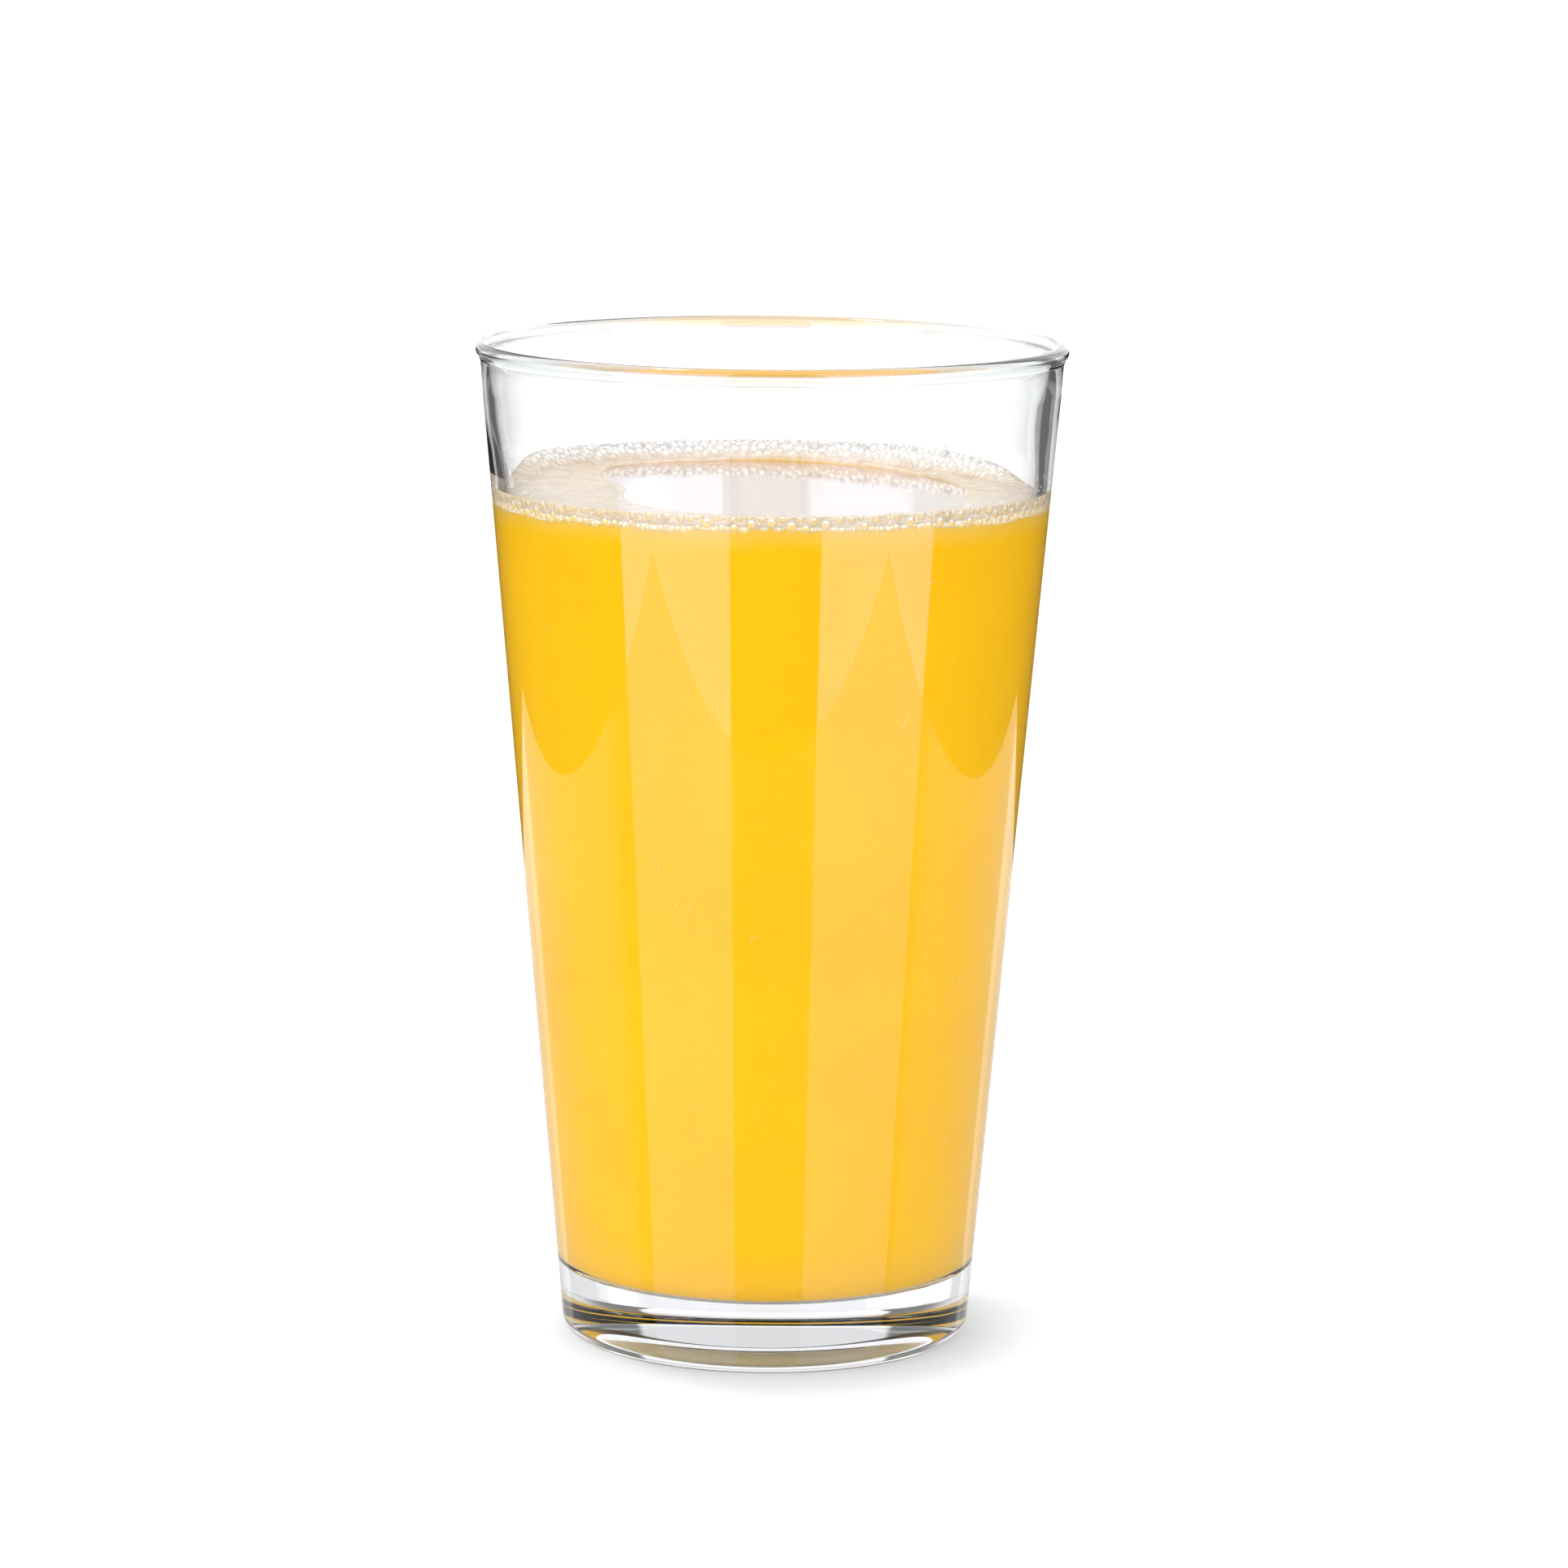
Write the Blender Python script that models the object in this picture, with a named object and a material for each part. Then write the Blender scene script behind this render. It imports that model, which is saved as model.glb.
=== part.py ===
"""A straight-sided pint glass of orange juice, with a ring of foam where the juice meets the wall.

Metres, +Z up. The origin is the centre of the ring that the glass stands on. The front is -Y.
Azimuths are angles about Z, counted from +X towards +Y, so the front is at -90 degrees.
"""

import math
import random

import bmesh
import bpy
from mathutils import Matrix, Vector

# Driving dimensions of the glass
GLASS_HEIGHT = 0.1514
RIM_RADIUS = 0.04445
FOOT_RADIUS = 0.03077
RIM_BEAD = 0.0004
WALL_AT_RIM = 0.0020
WALL_AT_FLOOR = 0.0031
BASE_THICKNESS = 0.0106
FLOOR_DIP = 0.0004
FLOOR_FILLET = 0.0032
HEEL_RADIUS = 0.0026
BEARING_INNER = 0.0225
PUNT_RISE = 0.0013

# Driving dimensions of the drink
LEVEL = 0.1292
FOAM_DEPTH = 0.0016
BANK_HEIGHT = 0.0019
BANK_WIDTH = 0.0034
FILM_HEIGHT = 0.0007
CLEARANCE = 0.0003

# How far from the axis the foam begins: a plain ring, with a wide patch of froth on each side
SHORE_RADIUS = 0.0358
LEFT_PATCH = {"azimuth": 190.0, "spread": 48.0, "reach": 0.0132}
RIGHT_PATCH = {"azimuth": 2.0, "spread": 40.0, "reach": 0.0068}
SHORE_RIPPLE = 0.0005

# Bubbles that stand out of the foam
BUBBLE_COUNT = 128
LARGEST_BUBBLE = 0.00135
SMALLEST_BUBBLE = 0.00055
BUBBLE_SEED = 5

# Fineness of the turned shapes
TURNS = 64
FOAM_TURNS = 96
FOAM_RINGS = 6

LIP_RADIUS = WALL_AT_RIM / 2 + RIM_BEAD / 2
WALL_TOP_RADIUS = RIM_RADIUS - RIM_BEAD
SHELF = LEVEL - FOAM_DEPTH


def outer_radius(z):
    """The outer wall is a straight cone."""
    return FOOT_RADIUS + (WALL_TOP_RADIUS - FOOT_RADIUS) * z / GLASS_HEIGHT


def inner_radius(z):
    """The wall thins evenly from the floor to the rim."""
    share = (z - BASE_THICKNESS) / (GLASS_HEIGHT - BASE_THICKNESS)
    return outer_radius(z) - WALL_AT_FLOOR - (WALL_AT_RIM - WALL_AT_FLOOR) * share


def bump(azimuth, patch):
    """A bell round the patch's own azimuth, 1 at its middle; azimuths are in degrees."""
    away = (azimuth - patch["azimuth"] + 180.0) % 360.0 - 180.0
    return math.exp(-((away / patch["spread"]) ** 2))


def shore(azimuth):
    """Radius at which the foam begins, which ripples a little; the azimuth is in degrees."""
    ripple = math.sin(math.radians(5 * azimuth + 40)) + 0.4 * math.sin(math.radians(9 * azimuth))
    reach = sum(patch["reach"] * bump(azimuth, patch) for patch in (LEFT_PATCH, RIGHT_PATCH))
    return SHORE_RADIUS - reach + SHORE_RIPPLE * ripple


def foam_top(azimuth, radius):
    """Height of the foam: a thin film that climbs to a bank against the wall, higher at the back."""
    back = 0.5 + 0.5 * math.sin(math.radians(azimuth))
    bank = BANK_HEIGHT * (0.85 + 0.45 * back)
    from_wall = inner_radius(LEVEL) - radius
    waves = math.sin(math.radians(9 * azimuth) + 900 * radius) + math.sin(math.radians(17 * azimuth))
    climb = math.exp(-((from_wall / BANK_WIDTH) ** 2))
    return LEVEL + FILM_HEIGHT + (bank - FILM_HEIGHT) * climb + 0.00008 * waves


def arc(centre, radius, start, end, steps):
    """Points (r, z) along an arc, its ends included; angles in degrees from the +r direction."""
    angles = [math.radians(start + (end - start) * i / steps) for i in range(steps + 1)]
    return [(centre[0] + radius * math.cos(a), centre[1] + radius * math.sin(a)) for a in angles]


def glass_profile():
    """Half section of the glass: under the base, up the outside, over the lip and down the inside."""
    lean = math.degrees(math.atan2(WALL_TOP_RADIUS - FOOT_RADIUS, GLASS_HEIGHT))
    punt = [(BEARING_INNER * t, PUNT_RISE * (1 - t * t)) for t in (0.0, 0.5, 0.8, 1.0)]
    heel_z = HEEL_RADIUS
    heel_r = outer_radius(heel_z) - HEEL_RADIUS / math.cos(math.radians(lean))
    heel = arc((heel_r, heel_z), HEEL_RADIUS, -90, -lean, 5)
    lip_r = RIM_RADIUS - LIP_RADIUS
    lip_z = GLASS_HEIGHT - LIP_RADIUS
    lip = arc((lip_r, lip_z), LIP_RADIUS, -35, 180, 9)
    neck_z = lip_z - 1.3 * LIP_RADIUS
    neck = [(outer_radius(neck_z), neck_z)]
    throat_z = lip_z - 0.8 * LIP_RADIUS
    throat = [(inner_radius(throat_z), throat_z)]
    corner_z = BASE_THICKNESS + FLOOR_FILLET
    corner_r = inner_radius(corner_z) - FLOOR_FILLET
    floor_fillet = arc((corner_r, corner_z), FLOOR_FILLET, 0, -90, 5)
    floor = [(0.0, BASE_THICKNESS - FLOOR_DIP)]
    return punt + heel + neck + lip + throat + floor_fillet + floor


def juice_profile():
    """Half section of the juice: it fills the glass to a shelf for the foam, with the pool above it."""
    fillet = FLOOR_FILLET - CLEARANCE
    corner_z = BASE_THICKNESS + FLOOR_FILLET
    corner_r = inner_radius(corner_z) - FLOOR_FILLET
    floor = [(0.0, BASE_THICKNESS - FLOOR_DIP + CLEARANCE)]
    corner = arc((corner_r, corner_z), fillet, -90, 0, 5)
    side = [(inner_radius(SHELF) - CLEARANCE, SHELF)]
    pool = [(SHORE_RADIUS, SHELF), (SHORE_RADIUS, LEVEL), (0.0, LEVEL)]
    return floor + corner + side + pool


def foam_section():
    """Section of the foam ring as (share of the way from shore to wall, at the top or not)."""
    top = [(i / (FOAM_RINGS - 1), True) for i in range(FOAM_RINGS)]
    return [(1.0, False)] + top[::-1] + [(0.0, False)]


def foam_point(azimuth, share, at_top):
    """Place of a foam point; azimuth in degrees."""
    low = SHELF + CLEARANCE
    start = shore(azimuth) + CLEARANCE
    z = foam_top(azimuth, start + share * (inner_radius(LEVEL) - start)) if at_top else low
    radius = start + share * (inner_radius(z) - CLEARANCE - start)
    a = math.radians(azimuth)
    return Vector((radius * math.cos(a), radius * math.sin(a), z))


def spun(profile, turns):
    """A half section turned about Z into a closed mesh, with its faces outwards."""
    shape = bmesh.new()
    points = [shape.verts.new((r, 0.0, z)) for r, z in profile]
    edges = [shape.edges.new(pair) for pair in zip(points, points[1:])]
    bmesh.ops.spin(
        shape,
        geom=points + edges,
        cent=(0, 0, 0),
        axis=(0, 0, 1),
        angle=2 * math.pi,
        steps=turns,
        use_merge=True,
    )
    bmesh.ops.remove_doubles(shape, verts=shape.verts, dist=1e-6)
    bmesh.ops.recalc_face_normals(shape, faces=shape.faces)
    return shape


def finished(name, shape, material):
    """Puts a mesh into the scene as an object with its material, shaded smooth."""
    mesh = bpy.data.meshes.new(name)
    shape.to_mesh(mesh)
    shape.free()
    mesh.materials.append(material)
    mesh.shade_smooth()
    mesh.set_sharp_from_angle(angle=math.radians(40))
    obj = bpy.data.objects.new(name, mesh)
    bpy.context.scene.collection.objects.link(obj)
    return obj


def finish(name, colour, roughness, transmission, ior):
    """A Principled material."""
    material = bpy.data.materials.new(name)
    material.use_nodes = True
    shader = material.node_tree.nodes["Principled BSDF"]
    shader.inputs["Base Color"].default_value = (*colour, 1.0)
    shader.inputs["Roughness"].default_value = roughness
    shader.inputs["Metallic"].default_value = 0.0
    shader.inputs["Transmission Weight"].default_value = transmission
    shader.inputs["IOR"].default_value = ior
    return material


def make_glass():
    clear = finish("clear_glass", (0.97, 0.98, 0.98), 0.02, 1.0, 1.52)
    return finished("glass", spun(glass_profile(), TURNS), clear)


def make_juice():
    """The pool's edge is moved to the shore of the foam."""
    shape = spun(juice_profile(), TURNS)
    for vert in shape.verts:
        radius = math.hypot(vert.co.x, vert.co.y)
        if vert.co.z > SHELF - 1e-5 and abs(radius - SHORE_RADIUS) < 1e-5:
            edge = shore(math.degrees(math.atan2(vert.co.y, vert.co.x)))
            vert.co.x *= edge / radius
            vert.co.y *= edge / radius
    juice = finish("orange_juice", (0.95, 0.52, 0.02), 0.2, 0.0, 1.35)
    return finished("juice", shape, juice)


def foam_ring(material):
    """The foam's core: its section carried round the wall, following the shore and the bank."""
    section = foam_section()
    shape = bmesh.new()
    rings = []
    for step in range(FOAM_TURNS):
        azimuth = 360.0 * step / FOAM_TURNS
        rings.append([shape.verts.new(foam_point(azimuth, *place)) for place in section])
    for here, there in zip(rings, rings[1:] + rings[:1]):
        for i in range(len(section)):
            j = (i + 1) % len(section)
            shape.faces.new((here[i], there[i], there[j], here[j]))
    bmesh.ops.recalc_face_normals(shape, faces=shape.faces)
    return finished("foam", shape, material)


def bubbles():
    """Places and sizes of the bubbles, largest first: close to the wall, most of them at the back."""
    draw = random.Random(BUBBLE_SEED)
    placed = []
    for i in range(BUBBLE_COUNT * 6):
        if len(placed) == BUBBLE_COUNT:
            break
        size = SMALLEST_BUBBLE + (LARGEST_BUBBLE - SMALLEST_BUBBLE) * (1 - len(placed) / BUBBLE_COUNT) ** 2.2
        azimuth = draw.uniform(0, 360)
        outermost = inner_radius(LEVEL) - CLEARANCE - 1.05 * size
        innermost = max(shore(azimuth) + CLEARANCE + 1.6 * size, outermost - 0.0045)
        radius = outermost - (outermost - innermost) * draw.random() ** 1.6
        a = math.radians(azimuth)
        height = foam_top(azimuth, radius) - 0.15 * size
        centre = Vector((radius * math.cos(a), radius * math.sin(a), height))
        if innermost < outermost and all((centre - c).length > 0.82 * (size + s) for c, s in placed):
            placed.append((centre, size))
    return placed


def keep_largest_shell(obj):
    """Drops every shell of the mesh but the one with the most faces, so no hollow or scrap is left."""
    shape = bmesh.new()
    shape.from_mesh(obj.data)
    left = set(shape.faces)
    shells = []
    while left:
        shell = [left.pop()]
        for face in shell:
            for edge in face.edges:
                for other in edge.link_faces:
                    if other in left:
                        left.discard(other)
                        shell.append(other)
        shells.append(shell)
    shells.sort(key=len)
    loose = [face for shell in shells[:-1] for face in shell]
    bmesh.ops.delete(shape, geom=loose, context="FACES")
    bmesh.ops.triangulate(shape, faces=shape.faces)
    shape.to_mesh(obj.data)
    shape.free()


def make_foam():
    """The ring with the bubbles that stand out of it fused on."""
    froth = finish("foam", (0.90, 0.83, 0.68), 0.4, 0.0, 1.33)
    foam = foam_ring(froth)
    cells = bpy.data.collections.new("bubbles")
    for centre, size in bubbles():
        shape = bmesh.new()
        bmesh.ops.create_icosphere(shape, subdivisions=1, radius=size, matrix=Matrix.Translation(centre))
        mesh = bpy.data.meshes.new("bubble")
        shape.to_mesh(mesh)
        shape.free()
        cells.objects.link(bpy.data.objects.new("bubble", mesh))
    join = foam.modifiers.new("join", "BOOLEAN")
    join.operation = "UNION"
    join.operand_type = "COLLECTION"
    join.collection = cells
    join.solver = "EXACT"
    whole = bpy.data.meshes.new_from_object(foam.evaluated_get(bpy.context.evaluated_depsgraph_get()))
    foam.modifiers.clear()
    foam.data = whole
    for cell in list(cells.objects):
        bpy.data.objects.remove(cell)
    bpy.data.collections.remove(cells)
    keep_largest_shell(foam)
    return foam


def main():
    for obj in list(bpy.data.objects):
        bpy.data.objects.remove(obj)
    make_glass()
    make_juice()
    make_foam()


main()
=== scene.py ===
"""Looks of a pint glass of orange juice: clear glass, cloudy juice, a ring of foam, and a pale studio.

Metres, +Z up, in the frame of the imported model. The front is -Y. Azimuths are angles about Z, counted
from +X towards +Y, so the front is at -90 degrees.
"""

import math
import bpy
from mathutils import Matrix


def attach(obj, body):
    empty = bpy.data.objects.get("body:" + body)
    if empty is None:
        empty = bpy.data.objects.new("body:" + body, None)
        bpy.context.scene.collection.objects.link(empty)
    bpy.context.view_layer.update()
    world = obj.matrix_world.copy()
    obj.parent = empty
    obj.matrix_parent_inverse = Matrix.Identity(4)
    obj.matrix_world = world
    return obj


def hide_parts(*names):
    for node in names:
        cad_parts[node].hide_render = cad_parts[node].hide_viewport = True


bl_info = {
    "name": "Glass of orange juice",
    "version": (1, 0, 0),
    "blender": (4, 5, 0),
    "location": "3D View > Sidebar > Juice",
    "description": "Builds the glass, the juice, its foam and the studio",
    "category": "Object",
}

import bpy
import numpy as np
from bpy.props import FloatProperty, FloatVectorProperty, IntProperty, PointerProperty
from mathutils import Matrix, Vector

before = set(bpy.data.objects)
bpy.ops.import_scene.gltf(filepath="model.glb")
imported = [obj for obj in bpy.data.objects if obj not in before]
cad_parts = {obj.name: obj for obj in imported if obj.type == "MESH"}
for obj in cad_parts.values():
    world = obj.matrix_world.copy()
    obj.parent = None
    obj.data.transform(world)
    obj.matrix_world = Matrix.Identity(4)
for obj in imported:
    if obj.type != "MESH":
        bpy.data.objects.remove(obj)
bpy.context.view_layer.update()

MM = 0.001
BODY = "root"

# Depth by which the drink and its foam enter the wall, so that no air gap shows
JUICE_BITE = 0.00010
FOAM_BITE = 0.00016

# Refractive index of the juice over that of the glass
JUICE_IN_GLASS = 0.882

# The two window panels in front: their azimuths in degrees from +Y towards +X, and their strength
PANELS = ((-163.0, -115.0), (109.0, 159.0))
PANEL_STRENGTH = 3.5

# How far a reflection off the outer wall is turned down by the wall's lean, and the elevation at which
# the camera sees the drink's level, both in degrees
LEAN_TWICE = 10.04
LEVEL_SEEN_AT = -6.97


class GlassSettings(bpy.types.PropertyGroup):
    """Sizes and tint of the glass."""

    height: FloatProperty(
        name="Height", description="Height of the glass", default=0.1514, unit="LENGTH"
    )
    rim_radius: FloatProperty(
        name="Rim radius", description="Outer radius at the lip", default=0.04445, unit="LENGTH"
    )
    foot_radius: FloatProperty(
        name="Foot radius", description="Outer wall's radius at the floor", default=0.03077, unit="LENGTH"
    )
    rim_bead: FloatProperty(
        name="Rim bead", description="How far the lip stands out", default=0.0004, unit="LENGTH"
    )
    wall_at_rim: FloatProperty(
        name="Wall at rim", description="Thickness under the lip", default=0.0020, unit="LENGTH"
    )
    wall_at_floor: FloatProperty(
        name="Wall at floor", description="Thickness at the base", default=0.0031, unit="LENGTH"
    )
    base: FloatProperty(
        name="Base thickness", description="Thickness of the base", default=0.0106, unit="LENGTH"
    )
    fillet: FloatProperty(
        name="Floor fillet", description="Rounding inside at the floor", default=0.0036, unit="LENGTH"
    )
    floor_dip: FloatProperty(
        name="Floor dip", description="How far the floor sinks in the middle", default=0.0010, unit="LENGTH"
    )
    heel: FloatProperty(
        name="Heel radius", description="Rounding outside at the foot", default=0.00267, unit="LENGTH"
    )
    hollow: FloatProperty(
        name="Hollow depth", description="Depth of the hollow under the base", default=0.0021, unit="LENGTH"
    )
    hollow_radius: FloatProperty(
        name="Hollow radius", description="Radius of that hollow", default=0.0191, unit="LENGTH"
    )
    tint: FloatVectorProperty(
        name="Tint", description="Colour of the glass", default=(0.975, 0.985, 0.985), subtype="COLOR"
    )


class JuiceSettings(bpy.types.PropertyGroup):
    """Level and colours of the juice."""

    level: FloatProperty(
        name="Level", description="Height of the pool", default=0.1292, unit="LENGTH"
    )
    colour: FloatVectorProperty(
        name="Colour", description="Colour of the juice", default=(0.862, 0.480, 0.0008), subtype="COLOR"
    )
    # Painted light: the colour the juice takes just under the foam, as if lit from above through the pool
    pale: FloatVectorProperty(
        name="Pale colour",
        description="Colour just under the foam",
        default=(0.90, 0.56, 0.15),
        subtype="COLOR",
    )
    deep: FloatVectorProperty(
        name="Deep colour",
        description="Colour of the darker clouds",
        default=(0.848, 0.456, 0.0006),
        subtype="COLOR",
    )
    fibres: IntProperty(name="Fibres", description="Number of pulp fibres at the wall", default=34)


class FoamSettings(bpy.types.PropertyGroup):
    """Colours and bubbles of the foam."""

    film: FloatVectorProperty(
        name="Film", description="Colour inside a cell", default=(0.66, 0.495, 0.34), subtype="COLOR"
    )
    edge: FloatVectorProperty(
        name="Edge", description="Colour where cells meet", default=(0.80, 0.67, 0.54), subtype="COLOR"
    )
    ochre: FloatVectorProperty(
        name="Ochre",
        description="Colour where juice climbs the foam",
        default=(0.80, 0.60, 0.26),
        subtype="COLOR",
    )
    bubbles: IntProperty(name="Bubbles", description="Number of clear bubbles", default=120)


def outer_radius(z):
    """Radius of the outer wall, which is a straight cone from the floor to just under the lip."""
    g = bpy.context.scene.juice_glass
    top = g.rim_radius - g.rim_bead
    return g.foot_radius + (top - g.foot_radius) * z / g.height


def inner_radius(z):
    """Radius of the inner wall: the outer one less a thickness that shrinks evenly up to the rim."""
    g = bpy.context.scene.juice_glass
    share = (z - g.base) / (g.height - g.base)
    return outer_radius(z) - g.wall_at_floor - (g.wall_at_rim - g.wall_at_floor) * share


def arc(centre, radius, start, end, steps):
    """Points (r, z) along an arc, its ends included; angles in degrees from the +r direction."""
    a = np.radians(np.linspace(start, end, steps + 1))
    return np.stack([centre[0] + radius * np.cos(a), centre[1] + radius * np.sin(a)], axis=1)


def line(start, end, steps):
    """Points (r, z) between two others, both left out."""
    t = np.linspace(0, 1, steps + 2)[1:-1, None]
    return np.asarray(start) * (1 - t) + np.asarray(end) * t


def grid_faces(rows, columns, wrap_rows):
    """Quads of a grid whose columns close on themselves, and whose rows do too if asked."""
    i = np.arange(rows if wrap_rows else rows - 1)[:, None]
    j = np.arange(columns)[None, :]
    i2 = (i + 1) % rows
    j2 = (j + 1) % columns
    quads = np.stack([i * columns + j, i * columns + j2, i2 * columns + j2, i2 * columns + j], axis=-1)
    return quads.reshape(-1, 4)


def add_mesh(name, verts, faces, materials, attributes=None):
    """A smooth mesh object from arrays; faces is a list of index arrays, one row a face."""
    mesh = bpy.data.meshes.new(name)
    loops = np.concatenate([f.ravel() for f in faces])
    sizes = np.concatenate([np.full(len(f), f.shape[1]) for f in faces])
    mesh.vertices.add(len(verts))
    mesh.vertices.foreach_set("co", np.asarray(verts, dtype=np.float32).ravel())
    mesh.loops.add(len(loops))
    mesh.loops.foreach_set("vertex_index", loops.astype(np.int32))
    mesh.polygons.add(len(sizes))
    starts = np.concatenate([[0], np.cumsum(sizes)[:-1]])
    mesh.polygons.foreach_set("loop_start", starts.astype(np.int32))
    mesh.update(calc_edges=True)
    mesh.validate()
    mesh.shade_smooth()
    for key, values in (attributes or {}).items():
        layer = mesh.attributes.new(key, "FLOAT", "POINT")
        layer.data.foreach_set("value", np.asarray(values, dtype=np.float32).ravel())
    for material in materials:
        mesh.materials.append(material)
    obj = bpy.data.objects.new(name, mesh)
    bpy.context.scene.collection.objects.link(obj)
    return obj


def end_fans(rings, around, last):
    """Triangles that close a stack of rings at its two tips, which are point 0 and the last point."""
    j = np.arange(around)
    j2 = (j + 1) % around
    end = 1 + (rings - 1) * around
    first = np.stack([np.zeros_like(j), j2 + 1, j + 1], axis=1)
    final = np.stack([np.full_like(j, last), end + j, end + j2], axis=1)
    return [first, final]


def repeated(faces, count, points):
    """The faces of one shape, copied for a number of shapes that have the given number of points each."""
    step = points * np.arange(count)
    return [(f[None] + step[:, None, None]).reshape(-1, f.shape[1]) for f in faces]


def turned(profile, turns, shift=None):
    """Points and faces of a profile (r, z) turned about Z; its ends lie on the axis as single points.

    The point at angle a is (r cos a, r sin a, z), and shift(angle, r, z) may move r and z a little.
    """
    ring = profile[1:-1]
    a = np.linspace(0, 2 * math.pi, turns, endpoint=False)[None, :]
    r = np.repeat(ring[:, :1], turns, axis=1)
    z = np.repeat(ring[:, 1:], turns, axis=1)
    if shift is not None:
        r, z = shift(a, r, z)
    body = np.stack([r * np.cos(a), r * np.sin(a), z + 0 * a], axis=-1).reshape(-1, 3)
    first = np.array([[0.0, 0.0, profile[0][1]]])
    last = np.array([[0.0, 0.0, profile[-1][1]]])
    verts = np.concatenate([first, body, last])
    quads = grid_faces(len(ring), turns, False) + 1
    return verts, [quads, *end_fans(len(ring), turns, len(verts) - 1)]


def balls(centres, radii, around, rows):
    """Points and faces of many balls, each a turned half circle with closed poles.

    The point at latitude t and longitude a is c + s * (cos t cos a, cos t sin a, sin t), where c is the
    middle and s the radius.
    """
    lat = np.linspace(-math.pi / 2, math.pi / 2, rows + 1)[1:-1]
    lon = np.linspace(0, 2 * math.pi, around, endpoint=False)
    t, a = np.meshgrid(lat, lon, indexing="ij")
    unit = np.stack([np.cos(t) * np.cos(a), np.cos(t) * np.sin(a), np.sin(t)], axis=-1).reshape(-1, 3)
    unit = np.concatenate([[[0, 0, -1.0]], unit, [[0, 0, 1.0]]])
    verts = np.asarray(centres)[:, None, :] + unit[None] * np.asarray(radii)[:, None, None]
    quads = grid_faces(rows - 1, around, False) + 1
    faces = [quads, *end_fans(rows - 1, around, len(unit) - 1)]
    return verts.reshape(-1, 3), repeated(faces, len(centres), len(unit))


def tubes(paths, radii, sides):
    """Points and faces of many tubes along paths (count, points, 3), closed by a point at each end.

    Round each path point lies a circle of the given radius, square to the path.
    """
    along = np.gradient(paths, axis=1)
    along /= np.linalg.norm(along, axis=2, keepdims=True)
    out = paths * np.array([1.0, 1.0, 0.0])
    out /= np.linalg.norm(out, axis=2, keepdims=True)
    side = np.cross(along, out)
    side /= np.linalg.norm(side, axis=2, keepdims=True)
    up = np.cross(side, along)
    a = np.linspace(0, 2 * math.pi, sides, endpoint=False)
    wheel = side[:, :, None] * np.cos(a)[:, None] + up[:, :, None] * np.sin(a)[:, None]
    rings = paths[:, :, None] + wheel * radii[:, :, None, None]
    count, steps = paths.shape[:2]
    body = rings.reshape(count, -1, 3)
    verts = np.concatenate([paths[:, :1], body, paths[:, -1:]], axis=1)
    quads = grid_faces(steps, sides, False) + 1
    faces = [quads, *end_fans(steps, sides, verts.shape[1] - 1)]
    return verts.reshape(-1, 3), repeated(faces, count, verts.shape[1])


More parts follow.
